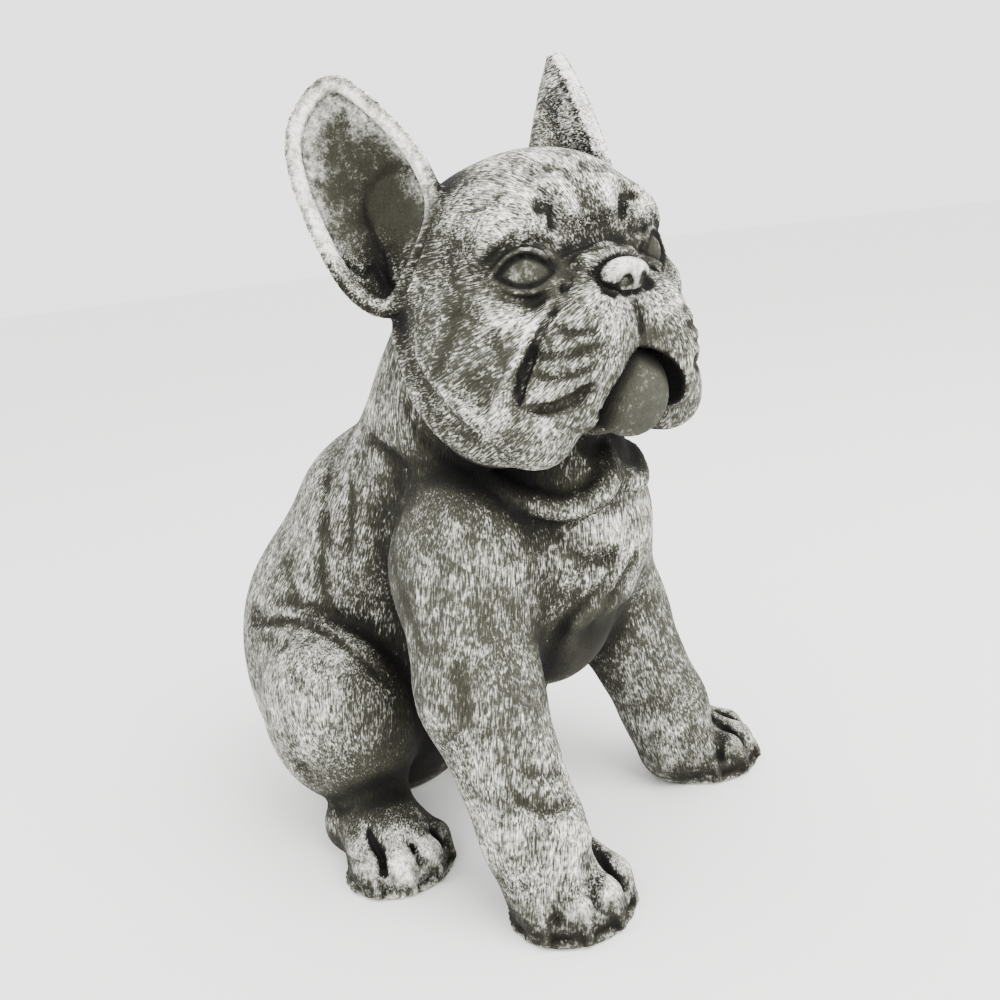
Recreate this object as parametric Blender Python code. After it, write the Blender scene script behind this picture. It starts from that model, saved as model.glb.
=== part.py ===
"""Seated French bulldog puppy, a garden statue cast in one piece of concrete.

The dog looks along -Y with its head turned to its right, and +Z is up. The origin is on the ground,
under the middle of the statue. The figure is drawn about 393 units high and then brought to its
height, so every form below is a share of statueHeight. Each form is a distance field: negative inside
the stone and zero on its surface. The forms are melted together, the folds and creases are pressed in,
and the surface is then drawn once as a closed skin.
"""

import bmesh
import bpy
import numpy as np

statueHeight = 0.393        # ground to the higher ear tip; every size here is in metres
earWidth = 0.062
earLength = 0.104
earWall = 0.0072
earDepth = 0.021
eyeRadius = 0.0125
lidThickness = 0.0028
lidFillet = 0.0045          # where the lids run out into the face
noseWidth = 0.022
forelegWidth = 0.052
pawWidth = 0.059
hindPawWidth = 0.055
toeRadius = 0.0086
creaseDepth = 0.0034
foldHeight = 0.003
throatRoll = 0.0055
seamWidth = 0.0016          # the grooves round the eyeballs and the nose

# Places that several forms share, in metres from the middle of the ground under the chest
headPlace = (0.002, -0.044, 0.278)
nearWrist = (-0.065, -0.065, 0.042)
farWrist = (0.074, -0.055, 0.042)
nearPaw = (-0.058, -0.075, 0)
farPaw = (0.095, -0.064, 0)
nearHindPaw = (-0.073, 0.022, 0)
farHindPaw = (0.08, 0.078, 0)
headTurn = (-9, -2, -16)    # degrees

# Each ear's side, its root on the head's own axes, its turn, and how much it is longer, in units
ears = ((-1, (55, 3, 0), (0, 0, 40), 0), (1, (62, -4, 0), (-3, 0, 64), 4.5))

unit = statueHeight / 393   # metres in one unit of the figure
skinStep = 2.1              # spacing of the grid that the skin is drawn on, in the figure's units
skinTriangles = 9500        # triangles in the finished skin
faceTriangles = 3300        # those round the eyes and the nose

real = np.float32


def turnMatrix(turn):
    """Rotation by degrees about x, then y, then z."""
    (cx, cy, cz), (sx, sy, sz) = np.cos(np.radians(turn)), np.sin(np.radians(turn))
    aboutX = np.array([[1, 0, 0], [0, cx, -sx], [0, sx, cx]])
    aboutY = np.array([[cy, 0, sy], [0, 1, 0], [-sy, 0, cy]])
    aboutZ = np.array([[cz, -sz, 0], [sz, cz, 0], [0, 0, 1]])
    return (aboutZ @ aboutY @ aboutX).astype(real)


def inUnits(place):
    """A place in metres, in the figure's units."""
    return np.array(place, real) / unit


def seenFrom(points, place, turn=(0, 0, 0)):
    """The points in the axes of something that stands at place, turned."""
    return (points - np.array(place, real)) @ turnMatrix(turn)


def egg(points, centre, radii, turn=(0, 0, 0)):
    q = seenFrom(points, centre, turn)
    r = np.array(radii, real)
    k = np.linalg.norm(q / r, axis=1)
    return k * (k - 1) / np.maximum(np.linalg.norm(q / (r * r), axis=1), 1e-6)


def limb(points, start, end, startRadius, endRadius):
    """A rod with round ends, thicker at one end than at the other."""
    start, end = np.array(start, real), np.array(end, real)
    along = end - start
    length2 = float(along @ along)
    grow = startRadius - endRadius
    slant = length2 - grow * grow
    fromStart = points - start
    y = fromStart @ along
    z = y - length2
    x2 = ((fromStart * length2 - y[:, None] * along) ** 2).sum(1)
    k = np.sign(grow) * grow * grow * x2
    side = (np.sqrt(np.maximum(x2 * slant / length2, 0)) + y * grow) / length2 - startRadius
    atStart = np.sqrt(x2 + y * y * length2) / length2 - startRadius
    atEnd = np.sqrt(x2 + z * z * length2) / length2 - endRadius
    d = np.where(np.sign(y) * slant * y * y * length2 < k, atStart, side)
    return np.where(np.sign(z) * slant * z * z * length2 > k, atEnd, d)


def melt(d, e, width):
    """The union of two forms, with a fillet of about this width between them."""
    h = np.maximum(width - np.abs(d - e), 0) / width
    return np.minimum(d, e) - h * h * width / 4


def seam(d, e, width):
    """The union of two forms, with a groove of this width along the line where they meet."""
    return np.minimum(d, e) + 0.25 * width * np.exp(-(d * d + e * e) / (width * width))


def hollow(d, e, width):
    """The first form with the second scooped out of it, its edge softened."""
    h = np.maximum(width - np.abs(d + e), 0) / width
    return np.maximum(d, -e) + h * h * width / 4


def curveThrough(path, closed=False, steps=5):
    """Points along a smooth curve through the points of a path."""
    p = np.array(path, float)
    if closed:
        p = np.vstack([p[-1], p, p[:2]])
    else:
        p = np.vstack([2 * p[0] - p[1], p, 2 * p[-1] - p[-2]])
    t = np.linspace(0, 1, steps, endpoint=False)[:, None]
    runs = []
    for a, b, c, d in zip(p, p[1:], p[2:], p[3:]):
        runs.append((2 * b + (c - a) * t + (2 * a - 5 * b + 4 * c - d) * t * t
                     + (3 * b - a - 3 * c + d) * t ** 3) / 2)
    if not closed:
        runs.append(p[-2:-1])
    return np.vstack(runs).astype(real)


def line(d, points, path, width, depth, fade=0.25):
    """Presses a crease of this depth along a path, or raises a fold where the depth is negative."""
    curve = curveThrough(path)
    reach = 3 * width + 3
    close = ((points > curve.min(0) - reach) & (points < curve.max(0) + reach)).all(1)
    rows = np.nonzero(close)[0]
    if not len(rows):
        return d
    q = points[rows]
    nearest = np.full(len(rows), 1e9, real)
    share = np.zeros(len(rows), real)
    for i, (a, b) in enumerate(zip(curve, curve[1:])):
        ab = b - a
        t = np.clip((q - a) @ ab / max(float(ab @ ab), 1e-9), 0, 1)
        away = ((q - a - t[:, None] * ab) ** 2).sum(1)
        closer = away < nearest
        nearest[closer] = away[closer]
        share[closer] = (i + t[closer]) / (len(curve) - 1)
    ends = np.clip(np.minimum(share, 1 - share) / fade, 0, 1)
    d = d.copy()
    d[rows] += depth * ends * ends * (3 - 2 * ends) * np.exp(-nearest / (width * width))
    return d


def insideOutline(x, z, outline):
    """Distance to a closed outline, positive inside it."""
    nearest = np.full(len(x), 1e9, real)
    inside = np.zeros(len(x), bool)
    for (ax, az), (bx, bz) in zip(outline, np.roll(outline, -1, axis=0)):
        ex, ez, wx, wz = bx - ax, bz - az, x - ax, z - az
        t = np.clip((wx * ex + wz * ez) / (ex * ex + ez * ez), 0, 1)
        nearest = np.minimum(nearest, (wx - ex * t) ** 2 + (wz - ez * t) ** 2)
        crosses = (z >= az) != (z >= bz)
        inside ^= crosses & ((ex * wz > ez * wx) == (bz > az))
    away = np.sqrt(nearest)
    return np.where(inside, away, -away)


def ear(half, root, turn, lift):
    """(wall, bowl) of an ear, in the head's own axes with the ear's side as +x."""
    t = seenFrom(half, root, turn)
    wall = np.full(len(t), 30, real)
    bowl = wall.copy()
    rows = np.nonzero((np.abs(t[:, 0] - 10) < 62) & (np.abs(t[:, 1] - 8) < 52)
                      & (t[:, 2] > -25) & (t[:, 2] < earLength / unit + 40))[0]
    if not len(rows):
        return wall, bowl
    x, y, z = t[rows].T
    w, top = earWidth / unit / 62, (earLength / unit + lift) / 104
    rim = curveThrough([(13 * w, 6), (-6 * w, 24), (-19 * w, 46), (-16 * w, 70 * top), (-1 * w, 97 * top),
                        (16 * w, 111 * top), (36 * w, 98 * top), (42.5 * w, 76 * top), (38.5 * w, 42),
                        (29 * w, 16)], closed=True, steps=4)
    a = insideOutline(x, z, rim)
    rise = np.clip(a / 24, 0, 1)
    share = np.clip(z / (110 * top), 0, 1)
    depth = earDepth / unit * (1 - 0.62 * share * share) * np.sin(rise * np.pi / 2)
    thick = earWall / unit * (1 - 0.2 * share)
    slope = 0.68
    shell = np.maximum(np.maximum(depth - y, y - depth - thick) * slope, -a)
    bead = np.sqrt((a - thick / 2) ** 2 + (y - thick * 0.3) ** 2) - thick * 0.56
    wall[rows] = melt(shell, bead, 2.5)
    bowl[rows] = np.maximum((y - depth) * slope, 1.5 - a)
    bowl[rows] = np.maximum(bowl[rows], -y - 30)
    return wall, bowl


def chain(points, path, startRadius, endRadius, width):
    """A round roll along a path, thicker at one end than at the other."""
    curve = curveThrough(path, steps=3)
    radii = np.linspace(startRadius, endRadius, len(curve))
    d = limb(points, curve[0], curve[1], radii[0], radii[1])
    for start, end, r1, r2 in zip(curve[1:], curve[2:], radii[1:], radii[2:]):
        d = melt(d, limb(points, start, end, r1, r2), width)
    return d


def eye(d, half):
    """The eyeball in its lids: a shell a little larger than the ball, open in an almond with a round rim."""
    q = seenFrom(half, (31, -42.5, 6), (0, -8, 27))
    ball = eyeRadius / unit
    lid = lidThickness / unit
    reach = np.array((ball * 1.32, ball * 1.08, ball * 1.04), real)
    d = hollow(d, egg(half, (33, -56, 7), (16, 9, 10), (0, -8, 20)), 4)
    d = melt(d, egg(q, (0, 0, 0.5), reach + lid * 0.7), lidFillet / unit)
    across = 1 - ((q[:, 0] - 0.5) / 15) ** 2
    almond = np.maximum(q[:, 2] - 10 * across, -q[:, 2] - 7 * across)
    d = hollow(d, np.maximum(almond * 0.85, q[:, 1]), 1.6)
    for height in (10, -7):
        rim = []
        for share in np.linspace(-1, 1, 5):
            x, z = 0.5 + 14.5 * share, height * (1 - share * share)
            out = 1 - (x / (reach[0] + lid)) ** 2 - (z / (reach[2] + lid)) ** 2
            rim.append((x, -(reach[1] + lid * 0.25) * np.sqrt(out), z))
        d = melt(d, chain(q, rim, lid * 0.55, lid * 0.55, 1), 1.5)
    return seam(d, egg(q, (0, 0, 0), reach), seamWidth / unit)


def nose(d, half):
    """The bare pad in its groove, with a nostril and a slit on each side."""
    width = noseWidth / unit
    d = seam(d, egg(half, (0, -69.5, -3), (width * 0.56, 8.6, 7.6)), seamWidth / unit)
    d = hollow(d, egg(half, (width * 0.21, -78.5, -5.5), (2.5, 4.5, 2.3)), 1.2)
    slit = [(width * 0.23, -77.5, -6.5), (width * 0.4, -75.5, -9), (width * 0.57, -70.5, -7.5)]
    d = line(d, half, slit, 1.7, 2.6, 0.2)
    return line(d, half, [(0, -77.5, -9), (0, -77, -20), (0, -76, -31)], 1.6, 2, 0.2)


def muzzle(d, half):
    d = melt(d, egg(half, (0, -44, -18), (36, 28, 27)), 10)
    lip = egg(half, (18, -57, -24), (21, 18, 19), (0, 0, 16))
    lip = melt(lip, limb(half, (25, -58, -38), (38, -38, -58), 14, 16), 12)
    lip = melt(lip, limb(half, (17, -62, -36), (24, -57, -52), 10, 9), 6)
    d = melt(d, lip, 4)
    d = hollow(d, limb(half, (0, -86, -31), (0, -68, -66), 1, 18), 2.5)
    d = hollow(d, egg(half, (0, -60, -54), (25, 17, 24)), 2)
    d = melt(d, egg(half, (0, -56, -50), (19.5, 15, 20)), 1.5)
    d = melt(d, limb(half, (0, -48, -54), (0, -24, -52), 13, 16), 3)
    d = hollow(d, egg(half, (3, -74, -65), (9, 7, 6)), 4)
    overNose = limb(half, (0, -60, 5.5), (15, -57, 3), 8, 7)
    overNose = melt(overNose, limb(half, (15, -57, 3), (28, -51, -12), 7, 7), 4)
    d = melt(d, overNose, 2)
    return nose(d, half)


def face(d, half):
    """Folds and creases of the brow, cheeks and jowls, the same on both sides of the head."""
    fold, crease = foldHeight / unit, creaseDepth / unit
    jowl = [(58, 17, 0), (60, 13, -12), (62, 8, -24), (62.5, 3, -36), (60, -5, -48), (55, -14, -57),
            (49, -22, -62)]
    d = melt(d, chain(half, jowl, fold * 1.6, fold * 1.9, 4), 5)
    innerRoll = [(67, -3, -8), (68, -9, -20), (66.5, -16, -31), (64, -24, -42), (60, -32, -51)]
    d = line(d, half, innerRoll, 4, -fold * 0.8, 0.2)
    betweenRolls = [(66, 3, -12), (68, -2, -26), (67, -10, -39), (63, -20, -50), (58, -28, -58)]
    d = line(d, half, betweenRolls, 3, crease * 0.7, 0.15)
    cheekHollow = [(63, -27, -26), (61, -32, -36), (58, -37, -45)]
    d = line(d, half, cheekHollow, 7.5, crease * 1.1, 0.4)
    cheekBone = [(55, -40, -2), (51, -47, -8), (44, -53, -13)]
    d = line(d, half, cheekBone, 7, -fold * 0.4, 0.35)
    underCheekBone = [(60, -26, 10), (59, -36, -2), (57, -43, -12), (51, -49, -19), (45, -53, -23)]
    d = line(d, half, underCheekBone, 4.5, crease * 0.6, 0.2)
    besideFold = [(27, -58, -1), (33, -57, -10), (40, -54, -17), (48, -50, -26), (54, -44, -34),
                  (56, -39, -45), (57, -35, -52), (54, -31, -61)]
    d = line(d, half, besideFold, 3.2, -fold * 0.8, 0.15)
    fromEye = [(22, -60, 1), (27, -59, -8), (34, -57.5, -16), (39, -54.5, -21), (43, -52, -27),
               (46.5, -48, -36), (49, -46, -44), (52, -40, -54)]
    d = line(d, half, fromEye, 2.2, crease, 0.12)
    aboveLipRoll = [(49, -46, -44), (44, -53, -48), (38, -60, -48), (32, -66, -45), (25, -71, -42)]
    d = line(d, half, aboveLipRoll, 2.8, crease * 0.9, 0.25)
    brow = [(24, -55, 37), (33, -53, 33), (42, -49, 27), (49, -44, 20), (54, -38, 10)]
    d = line(d, half, brow, 6, -fold * 0.45, 0.3)
    underBrow = [(52, -41, 9), (46, -47, 16), (39, -53, 20.5), (31, -57, 20.5)]
    d = line(d, half, underBrow, 2.6, crease * 0.6, 0.3)
    d = hollow(d, limb(half, (19.5, -60, 21), (22, -63, 7), 4, 5.5), 4)
    stopPit = [(28, -56, 30), (22, -57.5, 32), (19, -57, 26), (19, -57, 18)]
    d = line(d, half, stopPit, 2.6, crease * 1.1, 0.2)
    forehead = [(25, -54, 40), (19, -56, 41), (12, -58, 37), (9, -59, 28), (9, -59, 18)]
    d = line(d, half, forehead, 4, -fold * 0.5, 0.4)
    betweenBrows = [(18, -53, 46), (10, -56, 41), (5, -58.5, 33), (4, -59, 24)]
    d = line(d, half, betweenBrows, 2.6, crease * 0.4, 0.4)
    beforeEar = [(50, 12, 52), (50, 4, 50)]
    return line(d, half, beforeEar, 2.5, crease * 0.5, 0.4)


def head(points):
    q = seenFrom(points, inUnits(headPlace), headTurn)
    half = q.copy()
    half[:, 0] = np.abs(half[:, 0])
    d = egg(half, (0, 2, 20), (53, 54, 45))
    d = melt(d, egg(half, (0, -26, 28), (48.5, 32, 31.5)), 14)
    d = melt(d, egg(half, (30, -42, 27), (22, 14, 11), (0, 20, 14)), 8)
    d = melt(d, egg(half, (38, -12, -14), (29, 42, 38)), 14)
    d = melt(d, egg(half, (38, -13, -44), (25, 38, 28)), 12)
    d = hollow(d, egg(half, (0, -66, 19), (14, 9, 5)), 8)
    d = eye(d, half)
    d = muzzle(d, half)
    d = face(d, half)
    farCheek = [(34, -58, -6), (44, -52, -6), (52, -43, -2)]
    d = line(d, q, farCheek, 9, 2.6, 0.4)
    farEarRoot = limb(q, (31, 5, 49), (44, 10, 86), 12.5, 5)
    d = melt(d, farEarRoot, 8)
    for side, root, turn, lift in ears:
        own = q * np.array((side, 1, 1), real)
        wall, bowl = ear(own, root, turn, lift)
        d = melt(d, limb(own, (40, 6, 16), (50, 13, 52), 20, 14), 12)
        d = hollow(d, bowl, 3)
        d = melt(d, wall, 5)
    return d


def foreleg(d, points, shoulder, elbow, wrist, fillet):
    r = forelegWidth / unit / 2
    d = melt(d, egg(points, shoulder, (r * 1.0, r * 1.38, r * 1.75), (15, 0, 0)), 18)
    leg = limb(points, shoulder, elbow, r * 1.25, r * 1.08)
    leg = melt(leg, limb(points, elbow, wrist, r * 1.06, r * 0.9), 10)
    leg = melt(leg, limb(points, wrist, (wrist[0], wrist[1] - 6, 20), r * 0.9, r * 0.86), 8)
    return melt(d, leg, fillet)


def paw(d, points, place, yaw, width):
    """A paw: the pad, four toes with a groove between each two, claws and the thin sole."""
    s = width / unit / 60
    toe, crease = toeRadius / unit, creaseDepth / unit
    rows = np.nonzero((np.abs(points - inUnits(place)) < 66 * s).all(1))[0]
    if not len(rows):
        return d
    q = seenFrom(points[rows], inUnits(place), (0, 0, yaw)) / s
    p = melt(egg(q, (0, 8, 15), (22, 24, 18)), egg(q, (0, -4, 8), (29, 27, 10)), 8)
    p = melt(p, egg(q, (0, -3, 2), (31, 30, 4)), 2)
    for x, y, fan in ((-21, -8, 16), (-7.8, -19, 5), (7.8, -19, -5), (21, -8, -16)):
        t = seenFrom(q, (x, y, 0), (0, 0, -fan))
        finger = limb(t, (0, 16, 19), (0, -1, 13.5), toe, toe)
        finger = melt(finger, limb(t, (0, -1, 13.5), (0, -5.5, 8), toe, toe * 0.8), 3)
        claw = limb(t, (0, -10, 11), (0, -13, 5), 3.2, 2.4)
        p = melt(p, melt(finger, claw, 1.5), 2.5)
    p = melt(d[rows], p * s, 5)
    for x in (-1, 0, 1):
        back = 5 * abs(x)
        groove = [(13 * x, 2, 31), (14 * x, -9 + back, 26), (15.5 * x, -21 + back, 15),
                  (17 * x, -27 + back, 5)]
        p = line(p, q, groove, 2.5, crease * s * 1.15, 0.25)
    d = d.copy()
    d[rows] = p
    return d


def torso(points):
    d = egg(points, (2, 97, 79), (74, 73, 86))
    d = melt(d, limb(points, (0, 92, 110), (0, 61, 162), 64, 56), 24)
    d = melt(d, limb(points, (0, 40, 168), (0, 2, 224), 47, 42), 24)
    d = melt(d, limb(points, (0, 4, 214), (0, -16, 268), 45, 40), 20)
    d = melt(d, limb(points, (8, 150, 66), (9, 158, 46), 11, 8), 8)
    d = melt(d, egg(points, (2, -32, 144), (46, 42, 60)), 24)
    d = melt(d, egg(points, (11, -54, 170), (39, 36, 46)), 16)
    d = melt(d, limb(points, (6, -50, 196), (3, -44, 228), 32, 30), 10)
    d = melt(d, egg(points, (2, 30, 96), (46, 58, 42), (35, 0, 0)), 20)
    return melt(d, egg(points, (-4, 56, 66), (44, 40, 35)), 14)


def hindquarters(d, points):
    d = melt(d, egg(points, (-56, 66, 74), (38, 50, 52), (14, 0, -8)), 7)
    d = melt(d, egg(points, (60, 98, 70), (37, 54, 52), (14, 0, 8)), 7)
    for hock, instep, shank in (((-68, 54, 15.5), (-71, 24, 16), (-60, 42, 34)),
                                ((76, 118, 15.5), (79, 86, 16), (64, 104, 34))):
        d = melt(d, limb(points, hock, instep, 17, 18), 7)
        d = melt(d, limb(points, shank, instep, 15, 17), 8)
    return d


def bodyFolds(d, points):
    """Loose skin: over the thigh and flank, down the neck, across the throat and chest."""
    fold, crease, roll = foldHeight / unit, creaseDepth / unit, throatRoll / unit
    flank = [(-60, 126, 117), (-69, 96, 125), (-72, 66, 122), (-71, 39, 117), (-65, 20, 105), (-56, 6, 90)]
    d = line(d, points, flank, 4.2, crease * 1.7, 0.1)
    d = line(d, points, [(-69, 122, 106), (-74, 94, 112), (-75, 70, 116)], 3, crease * 0.9)
    d = line(d, points, [(-86, 78, 62), (-92, 49, 55), (-88, 33, 56), (-79, 16, 62)], 4, crease * 1.2)
    d = line(d, points, [(-34, 38, 228), (-43, 16, 218), (-46, 5, 211), (-46, -3, 197)], 3.4, crease * 1.2)
    d = line(d, points, [(-32, 48, 222), (-42, 42, 206), (-49, 38, 186)], 5, -fold * 0.9)
    d = line(d, points, [(-36, 63, 209), (-46, 58, 191), (-52, 53, 171), (-54, 47, 156)], 4.4, crease * 0.8)
    d = line(d, points, [(-47, 45, 184), (-52, 41, 162)], 4, crease * 0.6)
    shoulder = [(-60, 6, 178), (-66, -4, 158), (-70, -12, 138), (-73, -14, 118)]
    d = line(d, points, shoulder, 6, crease * 0.5, 0.3)
    d = line(d, points, [(-72, 0, 132), (-74, -8, 112), (-76, -18, 96)], 5, -fold * 0.7, 0.3)
    wrist = [(-82, -62, 46), (-72, -84, 42), (-58, -90, 40), (-46, -84, 38)]
    d = line(d, points, wrist, 5, -fold * 0.6, 0.3)
    nearArmpit = [(2, -86, 158), (-14, -79, 157), (-21, -73, 147), (-26, -64, 128), (-29, -56, 110)]
    d = line(d, points, nearArmpit, 4, crease, 0.15)
    farArmpit = [(45, -73, 178), (36, -77, 154), (28, -72, 138), (22, -67, 121), (12, -61, 103)]
    d = line(d, points, farArmpit, 4, crease, 0.15)
    breast = [(26, -70, 134), (10, -77, 133), (-5, -75, 131), (-17, -70, 128), (-27, -60, 122)]
    d = line(d, points, breast, 4.5, -fold * 0.9, 0.2)
    belowBreast = [(22, -68, 122), (8, -73, 121), (-6, -71, 119), (-18, -64, 116)]
    d = line(d, points, belowBreast, 5, crease * 0.9, 0.2)
    throat = [(-37, -38, 200), (-34, -55, 191), (-24, -70, 185), (-13, -80, 187), (-4, -84, 194),
              (1, -80, 204)]
    d = melt(d, chain(points, throat, roll, roll, 2.5), 2.5)
    dewlap = [(4, -82, 196), (12, -86, 190), (22, -83, 191), (31, -74, 199)]
    return melt(d, chain(points, dewlap, roll, roll, 3.5), 3.5)


def statue(points):
    d = torso(points)
    d = hindquarters(d, points)
    d = foreleg(d, points, (-46, -24, 158), (-62, -41, 106), inUnits(nearWrist), 10)
    d = foreleg(d, points, (43, -34, 150), (60, -37, 102), inUnits(farWrist), 10)
    d = melt(d, head(points), 5)
    d = bodyFolds(d, points)
    d = paw(d, points, nearPaw, -22, pawWidth)
    d = paw(d, points, farPaw, 6, pawWidth)
    d = paw(d, points, nearHindPaw, -14, hindPawWidth)
    return paw(d, points, farHindPaw, 12, hindPawWidth)


def cubeCorners():
    return [(i, j, k) for i in (0, 1) for j in (0, 1) for k in (0, 1)]


def measured(step, low, high):
    """The statue's field on a grid: a coarse one everywhere, and the fine one near the surface."""
    coarse = 4
    cells = np.ceil((high - low) / (step * coarse)).astype(int)
    places = np.stack(np.meshgrid(*[np.arange(n + 1) for n in cells], indexing="ij"), -1)
    field = statue((places.reshape(-1, 3) * step * coarse + low).astype(real)).reshape(cells + 1)
    near = np.zeros(cells, bool)
    for i, j, k in cubeCorners():
        near |= np.abs(field[i:cells[0] + i, j:cells[1] + j, k:cells[2] + k]) < step * coarse * 1.7
    for axis in range(3):
        field = np.repeat(field, coarse, axis)
        near = np.repeat(near, coarse, axis)
    size = cells * coarse
    field = field[:size[0] + 1, :size[1] + 1, :size[2] + 1].copy()
    wanted = np.zeros(size + 1, bool)
    for i, j, k in cubeCorners():
        wanted[i:size[0] + i, j:size[1] + j, k:size[2] + k] |= near
    rows = np.argwhere(wanted)
    batches = np.array_split(rows, 1 + len(rows) // 300000)
    field[wanted] = np.concatenate([statue((batch * step + low).astype(real)) for batch in batches])
    return field


def skinOf(field, step, low):
    """The zero surface as triangles: each cube of the grid is cut into six tetrahedra."""
    size = np.array(field.shape)
    number = np.arange(field.size).reshape(size)
    flat = field.ravel()
    edges, outward = [], []
    for first, second in [(i, j) for i in range(3) for j in range(3) if i != j]:
        steps = np.zeros((4, 3), int)
        steps[1:, first] = 1
        steps[2:, second] = 1
        steps[3] = 1
        tets = np.stack([number[i:size[0] - 1 + i, j:size[1] - 1 + j, k:size[2] - 1 + k].ravel()
                         for i, j, k in steps], 1)
        count = (flat[tets] < 0).sum(1)
        tets = tets[(count > 0) & (count < 4)]
        order = np.argsort(flat[tets] >= 0, axis=1, kind="stable")
        tets = np.take_along_axis(tets, order, 1)
        count = (flat[tets] < 0).sum(1)
        for amount, cuts in ((1, (0, 1, 0, 2, 0, 3)), (3, (0, 3, 1, 3, 2, 3)),
                             (2, (0, 2, 0, 3, 1, 3)), (2, (0, 2, 1, 3, 1, 2))):
            some = count == amount
            edges.append(tets[some][:, cuts].reshape(-1, 3, 2))
            corners = steps[order[some]]
            outward.append(corners[:, amount:].mean(1) - corners[:, :amount].mean(1))
    edges = np.sort(np.concatenate(edges).reshape(-1, 2), axis=1)
    keys, index = np.unique(edges[:, 0] * field.size + edges[:, 1], return_inverse=True)
    ends = [np.stack(np.unravel_index(end, size), 1) for end in (keys // field.size, keys % field.size)]
    first, second = flat[keys // field.size], flat[keys % field.size]
    share = np.clip(first / (first - second), 0.08, 0.92)[:, None]
    corners = (ends[0] + (ends[1] - ends[0]) * share) * step + low
    faces = index.reshape(-1, 3)
    a, b, c = corners[faces].transpose(1, 0, 2)
    facesIn = (np.cross(b - a, c - a) * np.concatenate(outward)).sum(1) < 0
    faces[facesIn] = faces[facesIn][:, ::-1]
    return corners, faces


def dropBubbles(work):
    """Leaves only the skin that holds the highest corner."""
    top = max(work.verts, key=lambda corner: corner.co.z)
    reached, waiting = {top}, [top]
    while waiting:
        corner = waiting.pop()
        for edge in corner.link_edges:
            other = edge.other_vert(corner)
            if other not in reached:
                reached.add(other)
                waiting.append(other)
    bmesh.ops.delete(work, geom=[corner for corner in work.verts if corner not in reached], context="VERTS")


def cutAtGround(mesh):
    """Cuts the paws and the rump off flat at the ground, and closes the cuts."""
    work = bmesh.new()
    work.from_mesh(mesh)
    dropBubbles(work)
    bmesh.ops.bisect_plane(work, geom=work.verts[:] + work.edges[:] + work.faces[:], dist=1e-4,
                           plane_co=(0, 0, 0), plane_no=(0, 0, 1), clear_inner=True)
    filled = bmesh.ops.holes_fill(work, edges=[edge for edge in work.edges if edge.is_boundary], sides=0)
    bmesh.ops.triangulate(work, faces=filled["faces"])
    bmesh.ops.triangulate(work, faces=[face for face in work.faces if len(face.verts) > 3])
    work.to_mesh(mesh)
    work.free()


def castStone():
    material = bpy.data.materials.new("cast stone")
    material.use_nodes = True
    shader = material.node_tree.nodes["Principled BSDF"]
    shader.inputs["Base Color"].default_value = (0.13, 0.14, 0.115, 1)
    shader.inputs["Roughness"].default_value = 0.85
    return material


def main():
    for thing in list(bpy.data.objects):
        bpy.data.objects.remove(thing)
    low, high = np.array((-112, -140, -10)), np.array((134, 184, 406))
    corners, faces = skinOf(measured(skinStep, low, high), skinStep, low)
    mesh = bpy.data.meshes.new("bulldog_statue")
    mesh.from_pydata(corners.tolist(), [], faces.tolist())
    whole = bpy.data.objects.new("bulldog_whole", mesh)
    bpy.context.scene.collection.objects.link(whole)
    whole.modifiers.new("smoother", "SMOOTH").iterations = 2
    faceMiddle, faceReach = (0, -58, 0), (52, 26, 22)
    fromMiddle = (seenFrom(corners, inUnits(headPlace), headTurn) - faceMiddle) / faceReach
    inFace = (fromMiddle * fromMiddle).sum(1) < 1
    count = len(faces)
    left = int(inFace[faces].any(1).sum()) + skinTriangles - faceTriangles
    for name, rows, goal in (("body", ~inFace, left), ("face", inFace, skinTriangles)):
        group = whole.vertex_groups.new(name=name)
        group.add(np.nonzero(rows)[0].tolist(), 1, "REPLACE")
        fewer = whole.modifiers.new("fewer triangles on the " + name, "DECIMATE")
        fewer.vertex_group = name
        fewer.use_collapse_triangulate = True
        fewer.ratio = goal / count
        count = goal
    skin = bpy.data.meshes.new_from_object(whole.evaluated_get(bpy.context.evaluated_depsgraph_get()))
    bpy.data.objects.remove(whole)
    cutAtGround(skin)
    places = np.empty(len(skin.vertices) * 3, real)
    skin.vertices.foreach_get("co", places)
    places = places.reshape(-1, 3).astype(float)
    least, most = places.min(0), places.max(0)
    places -= ((least[0] + most[0]) / 2, (least[1] + most[1]) / 2, least[2])
    places *= statueHeight / (most[2] - least[2])
    skin.vertices.foreach_set("co", places.astype(real).ravel())
    skin.update()
    skin.materials.append(castStone())
    dog = bpy.data.objects.new("bulldog_statue", skin)
    bpy.context.scene.collection.objects.link(dog)


if __name__ == "__main__":
    main()
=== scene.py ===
# French bulldog puppy, a garden statue cast in one piece of concrete.
# The same forms as the solid are drawn finer here, with the small folds and the carved coat,
# and the skin gets its dark weathered ground, painted shade in its hollows and under the body, and the pale
# dry brushing on everything that stands up.

import bmesh
import bpy
import numpy as np
from mathutils import Matrix, Vector


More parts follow.
